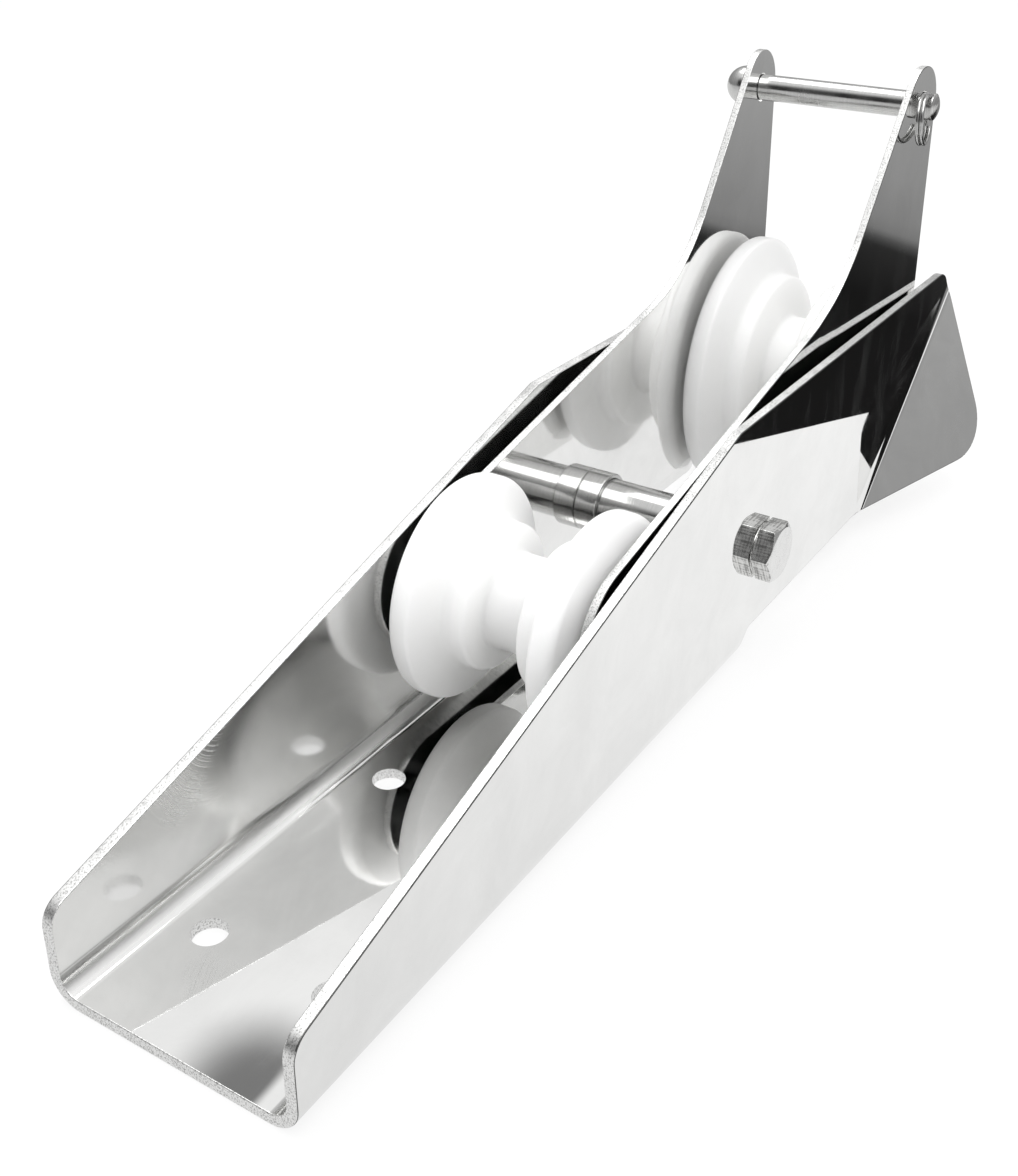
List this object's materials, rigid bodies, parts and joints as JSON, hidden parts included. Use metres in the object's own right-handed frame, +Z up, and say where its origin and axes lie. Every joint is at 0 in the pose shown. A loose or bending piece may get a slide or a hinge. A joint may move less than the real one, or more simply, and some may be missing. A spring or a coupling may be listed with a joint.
{
  "type": "tilting bow roller",
  "caption": "Stainless channel with flared front walls, carrying a tilting cradle with stepped plastic rollers and a retaining pin.",
  "frame": {"origin": "on the underside of the channel's base, at the centre of its four mounting holes", "axes": "+X outboard along the channel, +Y to its left side, +Z up, away from the deck"},
  "size_m": [0.3869, 0.1138, 0.1629],
  "materials": {
    "polished_steel": "mirror polished",
    "turned_steel": "polished",
    "fastener_steel": "satin",
    "spring_wire": "polished",
    "roller_plastic": "satin",
    "washer_plastic": "satin"
  },
  "bodies": {
    "channel_frame": {"channel": "polished_steel", "pivot_rod": "turned_steel", "pivot_bolt_left": "fastener_steel", "pivot_bolt_right": "fastener_steel", "pivot_spacer_washer_left": "washer_plastic", "pivot_spacer_washer_right": "washer_plastic"},
    "cradle": {"cradle_cheek_left": "polished_steel", "cradle_cheek_right": "polished_steel", "pivot_bush_left": "turned_steel", "pivot_bush_right": "turned_steel", "rear_axle": "turned_steel", "front_axle": "turned_steel", "rear_axle_screw_left": "fastener_steel", "rear_axle_screw_right": "fastener_steel", "front_axle_screw_left": "fastener_steel", "front_axle_screw_right": "fastener_steel", "rear_roller_washer_left": "washer_plastic", "rear_roller_washer_right": "washer_plastic", "front_roller_washer_left": "washer_plastic", "front_roller_washer_right": "washer_plastic"},
    "rear_roller_body": {"rear_roller": "roller_plastic"},
    "front_roller_body": {"front_roller": "roller_plastic"},
    "retaining_pin_body": {"retaining_pin": "turned_steel"},
    "pin_ring_body": {"pin_ring": "spring_wire"}
  },
  "joints": [
    {"name": "cradle_tilt", "type": "hinge", "parent": "channel_frame", "child": "cradle", "pos_m": [0.1523, 0, 0.0353], "axis": [0, 1, 0], "range_deg": [-4, 19.5]},
    {"name": "rear_roller_spin", "type": "hinge", "parent": "cradle", "child": "rear_roller_body", "pos_m": [0.0753, 0, 0.0415], "axis": [0, 1, 0], "continuous": true},
    {"name": "front_roller_spin", "type": "hinge", "parent": "cradle", "child": "front_roller_body", "pos_m": [0.261, 0, 0.0505], "axis": [0, 1, 0], "continuous": true},
    {"name": "retaining_pin_turn", "type": "hinge", "parent": "cradle", "child": "retaining_pin_body", "pos_m": [0.2735, 0, 0.1499], "axis": [0, 1, 0], "continuous": true},
    {"name": "pin_ring_swing", "type": "hinge", "parent": "retaining_pin_body", "child": "pin_ring_body", "pos_m": [0.2735, -0.033, 0.1499], "axis": [-0.4833, 0, 0.8755], "range_deg": [-8, 150]}
  ]
}
